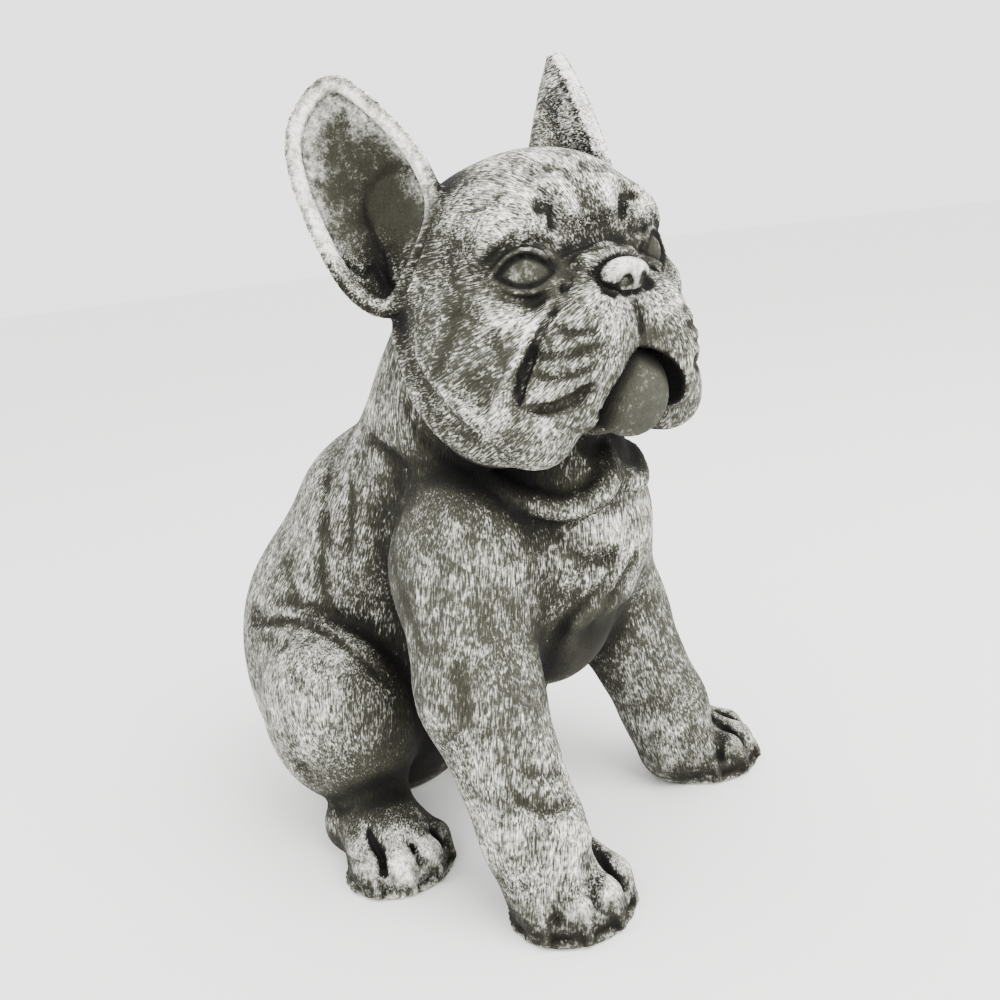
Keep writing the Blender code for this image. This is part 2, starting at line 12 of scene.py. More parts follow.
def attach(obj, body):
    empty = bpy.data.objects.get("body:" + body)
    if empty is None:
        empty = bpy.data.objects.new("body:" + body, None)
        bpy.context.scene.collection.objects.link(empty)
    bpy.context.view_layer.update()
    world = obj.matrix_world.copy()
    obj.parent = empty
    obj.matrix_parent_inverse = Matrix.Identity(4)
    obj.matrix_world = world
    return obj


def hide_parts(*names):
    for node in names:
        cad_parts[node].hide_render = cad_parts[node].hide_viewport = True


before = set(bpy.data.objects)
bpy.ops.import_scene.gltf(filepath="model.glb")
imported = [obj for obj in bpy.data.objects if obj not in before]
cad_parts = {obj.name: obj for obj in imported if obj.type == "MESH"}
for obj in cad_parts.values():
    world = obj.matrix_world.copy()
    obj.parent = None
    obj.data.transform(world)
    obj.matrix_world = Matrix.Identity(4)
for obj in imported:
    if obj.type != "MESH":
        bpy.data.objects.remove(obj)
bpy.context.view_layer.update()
print("frame loaded", flush=True)

# every size of the figure is in millimetres, on its own axes
figure = {
    "scale": 0.00099965,            # metres in one unit
    "middle": (11.7687, 21.5234),   # what lies over the origin
    "grid": 2.9,                    # spacing of the skin before the fine places are divided
    "quickGrid": 4.0,
    "soleEdge": 1.6,                # rounding where the stone meets the ground
}
forms = {
    "earWidth": 62, "earLength": 104, "earWall": 7.2, "earDepth": 21,
    "eyeRadius": 12.5, "lidThickness": 2.8, "lidFillet": 2.4, "noseWidth": 22,
    "forelegWidth": 52, "pawWidth": 59, "hindPawWidth": 55, "toeRadius": 8.6,
    "creaseDepth": 2.3, "foldHeight": 3.0, "throatRoll": 5.5, "seamWidth": 1.2,
}
faceLines = {   # path on the head's own axes, half its width, depth (a raised one is negative)
    "upperWhiskers": ([(36, -60, -17), (33, -68, -21), (28, -72, -22), (23, -75, -23)], 1.5, 1.7),
    "middleWhiskers": ([(40, -52, -27), (38, -65, -29), (32, -72, -29), (22, -75, -29)], 1.5, 1.9),
    "lowerWhiskers": ([(43, -51, -35), (40, -61, -37), (34, -70, -37), (26, -74, -36)], 1.5, 1.7),
    "overTheLip": ([(48, -45, -46), (44, -52, -48), (38, -59, -47), (32, -65, -44),
                    (28, -71, -41)], 1.5, 1.4),
    "fromTheEye": ([(21, -57, 6), (22, -61, -2), (26, -58, -7), (36, -59, -14), (44, -53, -23),
                    (48, -50, -31), (49, -46, -38), (55, -43, -46)], 1.3, 1.3),
    "besideTheFold": ([(33, -59, -9), (42, -55, -16), (49, -51, -25), (55, -45, -34), (58, -40, -45),
                       (58, -35, -55)], 2.2, -1.0),
    "overTheNose": ([(21, -57, 6), (12, -60, 11), (6, -64, 11), (0, -66, 11)], 1.4, 1.3),
    "nostril": ([(4, -77, -5), (7, -76, -8), (10, -73, -8.5), (13, -69, -6)], 1.7, 2.6),
    "underTheNose": ([(0, -76, -11), (0, -77, -20), (0, -76, -30)], 1.5, 1.5),
    "stop": ([(30, -57, 30), (21, -56, 31), (20, -55, 26), (19, -54, 21)], 1.7, 2.4),
    "innerBrow": ([(17, -50, 46), (9, -51, 48), (4, -55, 43), (2, -58, 34), (3, -58, 25)], 2.6, 1.2),
    "outerBrow": ([(16, -46, 51), (20, -51, 45), (23, -56, 37), (25, -57, 29)], 2.6, 1.0),
    "browRidge": ([(25, -53, 44), (18, -56, 40), (11, -59, 34), (9, -58, 24)], 3.0, -1.0),
    "underTheEye": ([(49, -48, 1), (45, -51, -3), (36, -54, -6), (29, -59, -5)], 1.8, 0.9),
    "innerJowl": ([(68, -16, -28), (65, -23, -36), (62, -28, -44)], 4, -1.2),
    "besideTheCheek": ([(58, -32, 3), (63, -31, -8), (66, -21, -19), (68, -12, -26)], 3, 1.2),
    "underTheCheek": ([(55, -44, -12), (53, -46, -19), (54, -47, -27), (57, -43, -36)], 2.4, 1.2),
}
bodyLines = {   # the same on the figure's axes
    "flank": ([(-64, 121, 116), (-66, 83, 124), (-67, 52, 121), (-65, 31, 109),
               (-59, 19, 91)], 2.0, 1.8),
    "overTheFlank": ([(-63, 108, 133), (-64, 76, 134), (-58, 53, 128), (-52, 35, 116),
                      (-48, 24, 102)], 3.5, 1.4),
    "back": ([(-57, 90, 160), (-60, 84, 144), (-62, 76, 134)], 3.5, 1.0),
    "withers": ([(-51, 54, 189), (-57, 58, 169), (-58, 61, 147), (-60, 58, 129)], 3.5, 1.3),
    "neck": ([(-47, 40, 204), (-51, 38, 190), (-54, 39, 175), (-56, 44, 159)], 3.0, 1.6),
    "neckFront": ([(-43, 29, 221), (-47, 14, 214), (-48, 7, 205), (-50, 4, 192)], 2.6, 1.4),
    "shoulder": ([(-50, 4, 192), (-65, -1, 177), (-77, -12, 162), (-81, -23, 145),
                  (-86, -32, 129)], 4, 1.2),
    "upperArm": ([(-76, -31, 171), (-80, -29, 155), (-84, -34, 138)], 4, -1.0),
    "elbow": ([(-84, -47, 131), (-87, -53, 119), (-88, -56, 106)], 3.5, 1.2),
    "wrist": ([(-84, -69, 73), (-79, -77, 65), (-68, -85, 60), (-54, -85, 60)], 2.6, 1.6),
    "overTheWrist": ([(-79, -71, 83), (-71, -78, 76), (-52, -78, 69)], 3, 1.0),
    "breast": ([(-2, -85, 155), (-11, -78, 142), (-20, -69, 134), (-26, -58, 120)], 2.4, 1.5),
    "farBreast": ([(11, -89, 161), (3, -84, 146), (-7, -77, 130), (-9, -66, 115)], 2.4, 1.5),
    "collar": ([(-31, -66, 181), (-26, -70, 168), (-15, -77, 158), (-2, -86, 157)], 3.0, 1.0),
    "behindTheJowl": ([(-46, -4, 242), (-47, -7, 230), (-45, -15, 218), (-41, -26, 209),
                       (-40, -44, 202)], 2.4, 1.2),
    "underTheEar": ([(-62, 8, 309), (-57, 7, 302), (-52, 4, 298), (-47, 4, 300), (-45, 2, 298),
                     (-47, -4, 292), (-56, -20, 287)], 1.5, 1.6),
}
laidLines = {"face": [], "body": []}   # filled once the paths lie on the stone
headPlace = (2, -44, 278)
headTurn = (-9, -2, -16)
nearWrist, farWrist = (-65, -65, 42), (74, -55, 42)
nearPaw, farPaw = (-58, -75, 0), (95, -64, 0)
nearHindPaw, farHindPaw = (-73, 22, 0), (80, 78, 0)
# each ear's side, its root on the head's own axes, its turn, and how much it is longer
ears = ((-1, (55, 3, 0), (0, 0, 40), 0), (1, (62, -4, 0), (-3, 0, 64), 4.5))
real = np.float32


def turnMatrix(turn):
    (cx, cy, cz), (sx, sy, sz) = np.cos(np.radians(turn)), np.sin(np.radians(turn))
    aboutX = np.array([[1, 0, 0], [0, cx, -sx], [0, sx, cx]])
    aboutY = np.array([[cy, 0, sy], [0, 1, 0], [-sy, 0, cy]])
    aboutZ = np.array([[cz, -sz, 0], [sz, cz, 0], [0, 0, 1]])
    return (aboutZ @ aboutY @ aboutX).astype(real)


def seenFrom(points, place, turn=(0, 0, 0)):
    return (points - np.array(place, real)) @ turnMatrix(turn)


def egg(points, centre, radii, turn=(0, 0, 0)):
    q = seenFrom(points, centre, turn)
    r = np.array(radii, real)
    k = np.linalg.norm(q / r, axis=1)
    return k * (k - 1) / np.maximum(np.linalg.norm(q / (r * r), axis=1), 1e-6)


def limb(points, start, end, startRadius, endRadius):
    start, end = np.array(start, real), np.array(end, real)
    along = end - start
    length2 = float(along @ along)
    grow = startRadius - endRadius
    slant = length2 - grow * grow
    fromStart = points - start
    y = fromStart @ along
    z = y - length2
    x2 = ((fromStart * length2 - y[:, None] * along) ** 2).sum(1)
    k = np.sign(grow) * grow * grow * x2
    side = (np.sqrt(np.maximum(x2 * slant / length2, 0)) + y * grow) / length2 - startRadius
    atStart = np.sqrt(x2 + y * y * length2) / length2 - startRadius
    atEnd = np.sqrt(x2 + z * z * length2) / length2 - endRadius
    d = np.where(np.sign(y) * slant * y * y * length2 < k, atStart, side)
    return np.where(np.sign(z) * slant * z * z * length2 > k, atEnd, d)


def melt(d, e, width):
    h = np.maximum(width - np.abs(d - e), 0) / width
    return np.minimum(d, e) - h * h * width / 4


def seam(d, e, width):
    return np.minimum(d, e) + 0.25 * width * np.exp(-(d * d + e * e) / (width * width))


def hollow(d, e, width):
    h = np.maximum(width - np.abs(d + e), 0) / width
    return np.maximum(d, -e) + h * h * width / 4


def curveThrough(path, closed=False, steps=5):
    p = np.array(path, float)
    if closed:
        p = np.vstack([p[-1], p, p[:2]])
    else:
        p = np.vstack([2 * p[0] - p[1], p, 2 * p[-1] - p[-2]])
    t = np.linspace(0, 1, steps, endpoint=False)[:, None]
    runs = []
    for a, b, c, d in zip(p, p[1:], p[2:], p[3:]):
        runs.append((2 * b + (c - a) * t + (2 * a - 5 * b + 4 * c - d) * t * t
                     + (3 * b - a - 3 * c + d) * t ** 3) / 2)
    if not closed:
        runs.append(p[-2:-1])
    return np.vstack(runs).astype(real)


def line(d, points, path, width, depth, fade=0.25, steps=5):
    curve = curveThrough(path, steps=steps)
    reach = 3 * width + 3
    close = ((points > curve.min(0) - reach) & (points < curve.max(0) + reach)).all(1)
    rows = np.nonzero(close)[0]
    if not len(rows):
        return d
    q = points[rows]
    nearest = np.full(len(rows), 1e9, real)
    share = np.zeros(len(rows), real)
    for i, (a, b) in enumerate(zip(curve, curve[1:])):
        ab = b - a
        t = np.clip((q - a) @ ab / max(float(ab @ ab), 1e-9), 0, 1)
        away = ((q - a - t[:, None] * ab) ** 2).sum(1)
        closer = away < nearest
        nearest[closer] = away[closer]
        share[closer] = (i + t[closer]) / (len(curve) - 1)
    ends = np.clip(np.minimum(share, 1 - share) / fade, 0, 1)
    d = d.copy()
    d[rows] += depth * ends * ends * (3 - 2 * ends) * np.exp(-nearest / (width * width))
    return d


def insideOutline(x, z, outline):
    nearest = np.full(len(x), 1e9, real)
    inside = np.zeros(len(x), bool)
    for (ax, az), (bx, bz) in zip(outline, np.roll(outline, -1, axis=0)):
        ex, ez, wx, wz = bx - ax, bz - az, x - ax, z - az
        t = np.clip((wx * ex + wz * ez) / (ex * ex + ez * ez), 0, 1)
        nearest = np.minimum(nearest, (wx - ex * t) ** 2 + (wz - ez * t) ** 2)
        crosses = (z >= az) != (z >= bz)
        inside ^= crosses & ((ex * wz > ez * wx) == (bz > az))
    away = np.sqrt(nearest)
    return np.where(inside, away, -away)


def ear(half, root, turn, lift):
    t = seenFrom(half, root, turn)
    wall = np.full(len(t), 30, real)
    bowl = wall.copy()
    rows = np.nonzero((np.abs(t[:, 0] - 10) < 62) & (np.abs(t[:, 1] - 8) < 52)
                      & (t[:, 2] > -25) & (t[:, 2] < forms["earLength"] + 40))[0]
    if not len(rows):
        return wall, bowl
    x, y, z = t[rows].T
    w, top = forms["earWidth"] / 62, (forms["earLength"] + lift) / 104
    rim = curveThrough([(13 * w, 6), (-6 * w, 24), (-19 * w, 46), (-16 * w, 70 * top), (-1 * w, 97 * top),
                        (16 * w, 111 * top), (36 * w, 98 * top), (42.5 * w, 76 * top), (38.5 * w, 42),
                        (29 * w, 16)], closed=True, steps=4)
    a = insideOutline(x, z, rim)
    rise = np.clip(a / 24, 0, 1)
    share = np.clip(z / (110 * top), 0, 1)
    depth = forms["earDepth"] * (1 - 0.62 * share * share) * np.sin(rise * np.pi / 2)
    thick = forms["earWall"] * (1 - 0.2 * share)
    slope = 0.68
    shell = np.maximum(np.maximum(depth - y, y - depth - thick) * slope, -a)
    bead = np.sqrt((a - thick / 2) ** 2 + (y - thick * 0.3) ** 2) - thick * 0.56
    wall[rows] = melt(shell, bead, 2.5)
    bowl[rows] = np.maximum((y - depth) * slope, 1.5 - a)
    bowl[rows] = np.maximum(bowl[rows], -y - 30)
    return wall, bowl


def chain(points, path, startRadius, endRadius, width):
    curve = curveThrough(path, steps=3)
    radii = np.linspace(startRadius, endRadius, len(curve))
    d = limb(points, curve[0], curve[1], radii[0], radii[1])
    for start, end, r1, r2 in zip(curve[1:], curve[2:], radii[1:], radii[2:]):
        d = melt(d, limb(points, start, end, r1, r2), width)
    return d


def eye(d, half):
    q = seenFrom(half, (31, -42.5, 6), (0, -8, 27))
    ball = forms["eyeRadius"]
    lid = forms["lidThickness"]
    reach = np.array((ball * 1.32, ball * 1.08, ball * 1.04), real)
    d = hollow(d, egg(half, (33, -56, 7), (16, 9, 10), (0, -8, 20)), 4)
    d = melt(d, egg(q, (0, 0, 0.5), reach + lid * 0.7), forms["lidFillet"])
    across = 1 - ((q[:, 0] - 0.5) / 15) ** 2
    almond = np.maximum(q[:, 2] - 10 * across, -q[:, 2] - 7 * across)
    d = hollow(d, np.maximum(almond * 0.85, q[:, 1]), 1.6)
    for height in (10, -7):
        rim = []
        for share in np.linspace(-1, 1, 5):
            x, z = 0.5 + 14.5 * share, height * (1 - share * share)
            out = 1 - (x / (reach[0] + lid)) ** 2 - (z / (reach[2] + lid)) ** 2
            rim.append((x, -(reach[1] + lid * 0.25) * np.sqrt(out), z))
        d = melt(d, chain(q, rim, lid * 0.55, lid * 0.55, 1), 1.5)
    return seam(d, egg(q, (0, 0, 0), reach), forms["seamWidth"])


def nose(d, half):
    width = forms["noseWidth"]
    d = seam(d, egg(half, (0, -69.5, -3), (width * 0.56, 8.6, 7.6)), forms["seamWidth"])
    d = hollow(d, egg(half, (width * 0.21, -78.5, -5.5), (2.5, 4.5, 2.3)), 1.2)
    slit = [(width * 0.23, -77.5, -6.5), (width * 0.4, -75.5, -9), (width * 0.57, -70.5, -7.5)]
    d = line(d, half, slit, 1.7, 2.6, 0.2)
    return line(d, half, [(0, -77.5, -9), (0, -77, -20), (0, -76, -31)], 1.6, 2, 0.2)


def muzzle(d, half):
    d = melt(d, egg(half, (0, -44, -18), (36, 28, 27)), 10)
    lip = egg(half, (18, -57, -24), (21, 18, 19), (0, 0, 16))
    lip = melt(lip, limb(half, (25, -58, -38), (38, -38, -58), 14, 16), 12)
    lip = melt(lip, limb(half, (17, -62, -36), (24, -57, -52), 10, 9), 6)
    d = melt(d, lip, 11)
    d = hollow(d, limb(half, (0, -86, -31), (0, -68, -66), 1, 18), 2.5)
    d = hollow(d, egg(half, (0, -60, -54), (25, 17, 24)), 2)
    d = melt(d, egg(half, (0, -56, -50), (19.5, 15, 20)), 1.5)
    d = melt(d, limb(half, (0, -48, -54), (0, -24, -52), 13, 16), 3)
    d = hollow(d, egg(half, (3, -74, -65), (9, 7, 6)), 4)
    overNose = limb(half, (0, -60, 5.5), (15, -57, 3), 8, 7)
    overNose = melt(overNose, limb(half, (15, -57, 3), (28, -51, -12), 7, 7), 4)
    d = melt(d, overNose, 2)
    return nose(d, half)


def face(d, half):
    fold, crease = forms["foldHeight"], forms["creaseDepth"]
    jowl = [(58, 17, 0), (60, 13, -12), (62, 8, -24), (62.5, 3, -36), (60, -5, -48), (55, -14, -57),
            (49, -22, -62)]
    d = melt(d, chain(half, jowl, fold * 1.6, fold * 1.9, 4), 5)
    innerRoll = [(67, -3, -8), (68, -9, -20), (66.5, -16, -31), (64, -24, -42), (60, -32, -51)]
    d = line(d, half, innerRoll, 4, -fold * 0.8, 0.2)
    betweenRolls = [(66, 3, -12), (68, -2, -26), (67, -10, -39), (63, -20, -50), (58, -28, -58)]
    d = line(d, half, betweenRolls, 3, crease * 0.7, 0.15)
    cheekHollow = [(63, -27, -26), (61, -32, -36), (58, -37, -45)]
    d = line(d, half, cheekHollow, 7.5, crease * 1.1, 0.4)
    cheekBone = [(55, -40, -2), (51, -47, -8), (44, -53, -13)]
    d = line(d, half, cheekBone, 7, -fold * 0.4, 0.35)
    underCheekBone = [(60, -26, 10), (59, -36, -2), (57, -43, -12), (51, -49, -19), (45, -53, -23)]
    d = line(d, half, underCheekBone, 4.5, crease * 0.6, 0.2)
    besideFold = [(27, -58, -1), (33, -57, -10), (40, -54, -17), (48, -50, -26), (54, -44, -34),
                  (56, -39, -45), (57, -35, -52), (54, -31, -61)]
    d = line(d, half, besideFold, 3.2, -fold * 0.8, 0.15)
    fromEye = [(22, -60, 1), (27, -59, -8), (34, -57.5, -16), (39, -54.5, -21), (43, -52, -27),
               (46.5, -48, -36), (49, -46, -44), (52, -40, -54)]
    d = line(d, half, fromEye, 2.2, crease, 0.12)
    aboveLipRoll = [(49, -46, -44), (44, -53, -48), (38, -60, -48), (32, -66, -45), (25, -71, -42)]
    d = line(d, half, aboveLipRoll, 2.8, crease * 0.9, 0.25)
    brow = [(24, -55, 37), (33, -53, 33), (42, -49, 27), (49, -44, 20), (54, -38, 10)]
    d = line(d, half, brow, 6, -fold * 0.45, 0.3)
    underBrow = [(52, -41, 9), (46, -47, 16), (39, -53, 20.5), (31, -57, 20.5)]
    d = line(d, half, underBrow, 2.6, crease * 0.6, 0.3)
    d = hollow(d, limb(half, (19.5, -60, 21), (22, -63, 7), 4, 5.5), 4)
    stopPit = [(28, -56, 30), (22, -57.5, 32), (19, -57, 26), (19, -57, 18)]
    d = line(d, half, stopPit, 2.6, crease * 1.1, 0.2)
    forehead = [(25, -54, 40), (19, -56, 41), (12, -58, 37), (9, -59, 28), (9, -59, 18)]
    d = line(d, half, forehead, 4, -fold * 0.5, 0.4)
    betweenBrows = [(18, -53, 46), (10, -56, 41), (5, -58.5, 33), (4, -59, 24)]
    d = line(d, half, betweenBrows, 2.6, crease * 0.4, 0.4)
    beforeEar = [(50, 12, 52), (50, 4, 50)]
    return line(d, half, beforeEar, 2.5, crease * 0.5, 0.4)


def head(points):
    q = seenFrom(points, headPlace, headTurn)
    half = q.copy()
    half[:, 0] = np.abs(half[:, 0])
    d = egg(half, (0, 2, 20), (53, 54, 45))
    d = melt(d, egg(half, (0, -26, 28), (48.5, 32, 31.5)), 14)
    d = melt(d, egg(half, (30, -42, 27), (22, 14, 11), (0, 20, 14)), 8)
    d = melt(d, egg(half, (38, -12, -14), (29, 42, 38)), 14)
    d = melt(d, egg(half, (38, -13, -44), (25, 38, 28)), 12)
    d = hollow(d, egg(half, (0, -66, 19), (14, 9, 5)), 8)
    d = eye(d, half)
    d = muzzle(d, half)
    d = face(d, half)
    d = fineFolds(d, half, laidLines["face"])
    farCheek = [(34, -58, -6), (44, -52, -6), (52, -43, -2)]
    d = line(d, q, farCheek, 9, 2.6, 0.4)
    farEarRoot = limb(q, (31, 5, 49), (44, 10, 86), 12.5, 5)
    d = melt(d, farEarRoot, 8)
    for side, root, turn, lift in ears:
        own = q * np.array((side, 1, 1), real)
        wall, bowl = ear(own, root, turn, lift)
        d = melt(d, limb(own, (40, 6, 16), (50, 13, 52), 20, 14), 12)
        d = hollow(d, bowl, 3)
        d = melt(d, wall, 5)
    return d


def foreleg(d, points, shoulder, elbow, wrist, fillet):
    r = forms["forelegWidth"] / 2
    d = melt(d, egg(points, shoulder, (r * 1.0, r * 1.38, r * 1.75), (15, 0, 0)), 18)
    leg = limb(points, shoulder, elbow, r * 1.25, r * 1.08)
    leg = melt(leg, limb(points, elbow, wrist, r * 1.06, r * 0.9), 10)
    leg = melt(leg, limb(points, wrist, (wrist[0], wrist[1] - 6, 20), r * 0.9, r * 0.86), 8)
    return melt(d, leg, fillet)


def paw(d, points, place, yaw, width):
    s = width / 60
    toe, crease = forms["toeRadius"], forms["creaseDepth"]
    rows = np.nonzero((np.abs(points - place) < 66 * s).all(1))[0]
    if not len(rows):
        return d
    q = seenFrom(points[rows], place, (0, 0, yaw)) / s
    p = melt(egg(q, (0, 8, 15), (22, 24, 18)), egg(q, (0, -4, 8), (29, 27, 10)), 8)
    p = melt(p, egg(q, (0, -3, 2), (31, 30, 4)), 2)
    for x, y, fan in ((-21, -8, 16), (-7.8, -19, 5), (7.8, -19, -5), (21, -8, -16)):
        t = seenFrom(q, (x, y, 0), (0, 0, -fan))
        finger = limb(t, (0, 16, 19), (0, -1, 13.5), toe, toe)
        finger = melt(finger, limb(t, (0, -1, 13.5), (0, -5.5, 8), toe, toe * 0.8), 3)
        claw = limb(t, (0, -10, 11), (0, -13, 5), 3.2, 2.4)
        p = melt(p, melt(finger, claw, 1.5), 2.5)
    p = melt(d[rows], p * s, 5)
    for x in (-1, 0, 1):
        back = 5 * abs(x)
        groove = [(13 * x, 2, 31), (14 * x, -9 + back, 26), (15.5 * x, -21 + back, 15),
                  (17 * x, -27 + back, 5)]
        p = line(p, q, groove, 2.5, crease * s * 1.15, 0.25)
    d = d.copy()
    d[rows] = p
    return d


def torso(points):
    d = egg(points, (2, 97, 79), (74, 73, 86))
    d = melt(d, limb(points, (0, 92, 110), (0, 61, 162), 64, 56), 24)
    d = melt(d, limb(points, (0, 40, 168), (0, 2, 224), 47, 42), 24)
    d = melt(d, limb(points, (0, 4, 214), (0, -16, 268), 45, 40), 20)
    d = melt(d, limb(points, (8, 150, 66), (9, 158, 46), 11, 8), 8)
    d = melt(d, egg(points, (2, -32, 144), (46, 42, 60)), 24)
    d = melt(d, egg(points, (11, -54, 170), (39, 36, 46)), 16)
    d = melt(d, limb(points, (6, -50, 196), (3, -44, 228), 32, 30), 10)
    d = melt(d, egg(points, (2, 30, 96), (46, 58, 42), (35, 0, 0)), 20)
    return melt(d, egg(points, (-4, 56, 66), (44, 40, 35)), 14)


def hindquarters(d, points):
    d = melt(d, egg(points, (-56, 66, 74), (38, 50, 52), (14, 0, -8)), 7)
    d = melt(d, egg(points, (60, 98, 70), (37, 54, 52), (14, 0, 8)), 7)
    for hock, instep, shank in (((-68, 54, 15.5), (-71, 24, 16), (-60, 42, 34)),
                                ((76, 118, 15.5), (79, 86, 16), (64, 104, 34))):
        d = melt(d, limb(points, hock, instep, 17, 18), 7)
        d = melt(d, limb(points, shank, instep, 15, 17), 8)
    return d


def bodyFolds(d, points):
    fold, crease, roll = forms["foldHeight"], forms["creaseDepth"], forms["throatRoll"]
    flank = [(-60, 126, 117), (-69, 96, 125), (-72, 66, 122), (-71, 39, 117), (-65, 20, 105), (-56, 6, 90)]
    d = line(d, points, flank, 4.2, crease * 1.7, 0.1)
    d = line(d, points, [(-69, 122, 106), (-74, 94, 112), (-75, 70, 116)], 3, crease * 0.9)
    d = line(d, points, [(-86, 78, 62), (-92, 49, 55), (-88, 33, 56), (-79, 16, 62)], 4, crease * 1.2)
    d = line(d, points, [(-34, 38, 228), (-43, 16, 218), (-46, 5, 211), (-46, -3, 197)], 3.4, crease * 1.2)
    d = line(d, points, [(-32, 48, 222), (-42, 42, 206), (-49, 38, 186)], 5, -fold * 0.9)
    d = line(d, points, [(-36, 63, 209), (-46, 58, 191), (-52, 53, 171), (-54, 47, 156)], 4.4, crease * 0.8)
    d = line(d, points, [(-47, 45, 184), (-52, 41, 162)], 4, crease * 0.6)
    shoulder = [(-60, 6, 178), (-66, -4, 158), (-70, -12, 138), (-73, -14, 118)]
    d = line(d, points, shoulder, 6, crease * 0.5, 0.3)
    d = line(d, points, [(-72, 0, 132), (-74, -8, 112), (-76, -18, 96)], 5, -fold * 0.7, 0.3)
    wrist = [(-82, -62, 46), (-72, -84, 42), (-58, -90, 40), (-46, -84, 38)]
    d = line(d, points, wrist, 5, -fold * 0.6, 0.3)
    nearArmpit = [(2, -86, 158), (-14, -79, 157), (-21, -73, 147), (-26, -64, 128), (-29, -56, 110)]
    d = line(d, points, nearArmpit, 4, crease, 0.15)
    farArmpit = [(45, -73, 178), (36, -77, 154), (28, -72, 138), (22, -67, 121), (12, -61, 103)]
    d = line(d, points, farArmpit, 4, crease, 0.15)
    breast = [(26, -70, 134), (10, -77, 133), (-5, -75, 131), (-17, -70, 128), (-27, -60, 122)]
    d = line(d, points, breast, 4.5, -fold * 0.9, 0.2)
    belowBreast = [(22, -68, 122), (8, -73, 121), (-6, -71, 119), (-18, -64, 116)]
    d = line(d, points, belowBreast, 5, crease * 0.9, 0.2)
    throat = [(-37, -38, 200), (-34, -55, 191), (-24, -70, 185), (-13, -80, 187), (-4, -84, 194),
              (1, -80, 204)]
    d = melt(d, chain(points, throat, roll, roll, 2.5), 2.5)
    dewlap = [(4, -82, 196), (12, -86, 190), (22, -83, 191), (31, -74, 199)]
    return melt(d, chain(points, dewlap, roll, roll, 3.5), 3.5)


def statue(points):
    d = torso(points)
    d = hindquarters(d, points)
    d = foreleg(d, points, (-46, -24, 158), (-62, -41, 106), nearWrist, 10)
    d = foreleg(d, points, (43, -34, 150), (60, -37, 102), farWrist, 10)
    d = melt(d, head(points), 5)
    d = bodyFolds(d, points)
    d = fineFolds(d, points, laidLines["body"])
    d = paw(d, points, nearPaw, -22, forms["pawWidth"])
    d = paw(d, points, farPaw, 6, forms["pawWidth"])
    d = paw(d, points, nearHindPaw, -14, forms["hindPawWidth"])
    return paw(d, points, farHindPaw, 12, forms["hindPawWidth"])


def fineFolds(d, points, lines):
    for path, width, depth in lines:
        d = line(d, points, path, width, depth, 0.15, 1)
    return d


def cast(points):
    return hollow(statue(points), points[:, 2], figure["soleEdge"])


# the skin: samples of the field near the surface, and one corner for each cell that it crosses
def corner8():
    return [(i, j, k) for i in (0, 1) for j in (0, 1) for k in (0, 1)]


def inBatches(work, points, size=200000):
    return np.concatenate([work(points[i:i + size]) for i in range(0, len(points), size)])


def sampleField(step, low, high):
    coarse = 4
    cells = np.ceil((high - low) / (step * coarse)).astype(int)
    places = np.stack(np.meshgrid(*[np.arange(n + 1) for n in cells], indexing="ij"), -1)
    field = inBatches(cast, (places.reshape(-1, 3) * step * coarse + low).astype(real)).reshape(cells + 1)
    near = np.zeros(cells, bool)
    for i, j, k in corner8():
        near |= np.abs(field[i:cells[0] + i, j:cells[1] + j, k:cells[2] + k]) < step * coarse * 1.7
    for axis in range(3):
        field = np.repeat(field, coarse, axis)
        near = np.repeat(near, coarse, axis)
    size = cells * coarse
    field = field[:size[0] + 1, :size[1] + 1, :size[2] + 1].copy()
    wanted = np.zeros(size + 1, bool)
    for i, j, k in corner8():
        wanted[i:size[0] + i, j:size[1] + j, k:size[2] + k] |= near
    rows = np.argwhere(wanted)
    field[wanted] = inBatches(cast, (rows * step + low).astype(real))
    return field


def skinOf(field, step, low):
    inside = field < 0
    size = np.array(field.shape)
    count = np.zeros(size - 1, np.uint8)
    for i, j, k in corner8():
        count += inside[i:size[0] - 1 + i, j:size[1] - 1 + j, k:size[2] - 1 + k]
    crossed = (count > 0) & (count < 8)
    cells = np.argwhere(crossed)
    number = np.full(size - 1, -1, np.int32)
    number[crossed] = np.arange(len(cells))
    value = {c: field[cells[:, 0] + c[0], cells[:, 1] + c[1], cells[:, 2] + c[2]] for c in corner8()}
    total, hits = np.zeros((len(cells), 3)), np.zeros(len(cells))
    for c in corner8():
        for axis in range(3):
            if c[axis]:
                continue
            other = tuple(1 if n == axis else c[n] for n in range(3))
            cut = (value[c] < 0) != (value[other] < 0)
            place = np.tile(np.array(c, float), (int(cut.sum()), 1))
            place[:, axis] += value[c][cut] / (value[c][cut] - value[other][cut])
            total[cut] += place
            hits[cut] += 1
    corners = (cells + total / hits[:, None]) * step + low
    faces = []
    for axis in range(3):
        here, there = [slice(None)] * 3, [slice(None)] * 3
        here[axis], there[axis] = slice(0, size[axis] - 1), slice(1, size[axis])
        edges = np.argwhere(inside[tuple(here)] != inside[tuple(there)])
        u, v = (axis + 1) % 3, (axis + 2) % 3
        leaving = inside[edges[:, 0], edges[:, 1], edges[:, 2]]
        round4 = []
        for du, dv in ((-1, -1), (0, -1), (0, 0), (-1, 0)):
            cell = edges.copy()
            cell[:, u] += du
            cell[:, v] += dv
            round4.append(number[cell[:, 0], cell[:, 1], cell[:, 2]])
        quads = np.stack(round4, 1)
        quads[~leaving] = quads[~leaving][:, ::-1]
        faces.append(quads)
    return corners.astype(real), np.vstack(faces)


def slopeOf(points, reach=0.3):
    slope = np.empty((len(points), 3), real)
    for axis in range(3):
        aside = np.zeros(3, real)
        aside[axis] = reach
        slope[:, axis] = (cast(points + aside) - cast(points - aside)) / (2 * reach)
    return slope


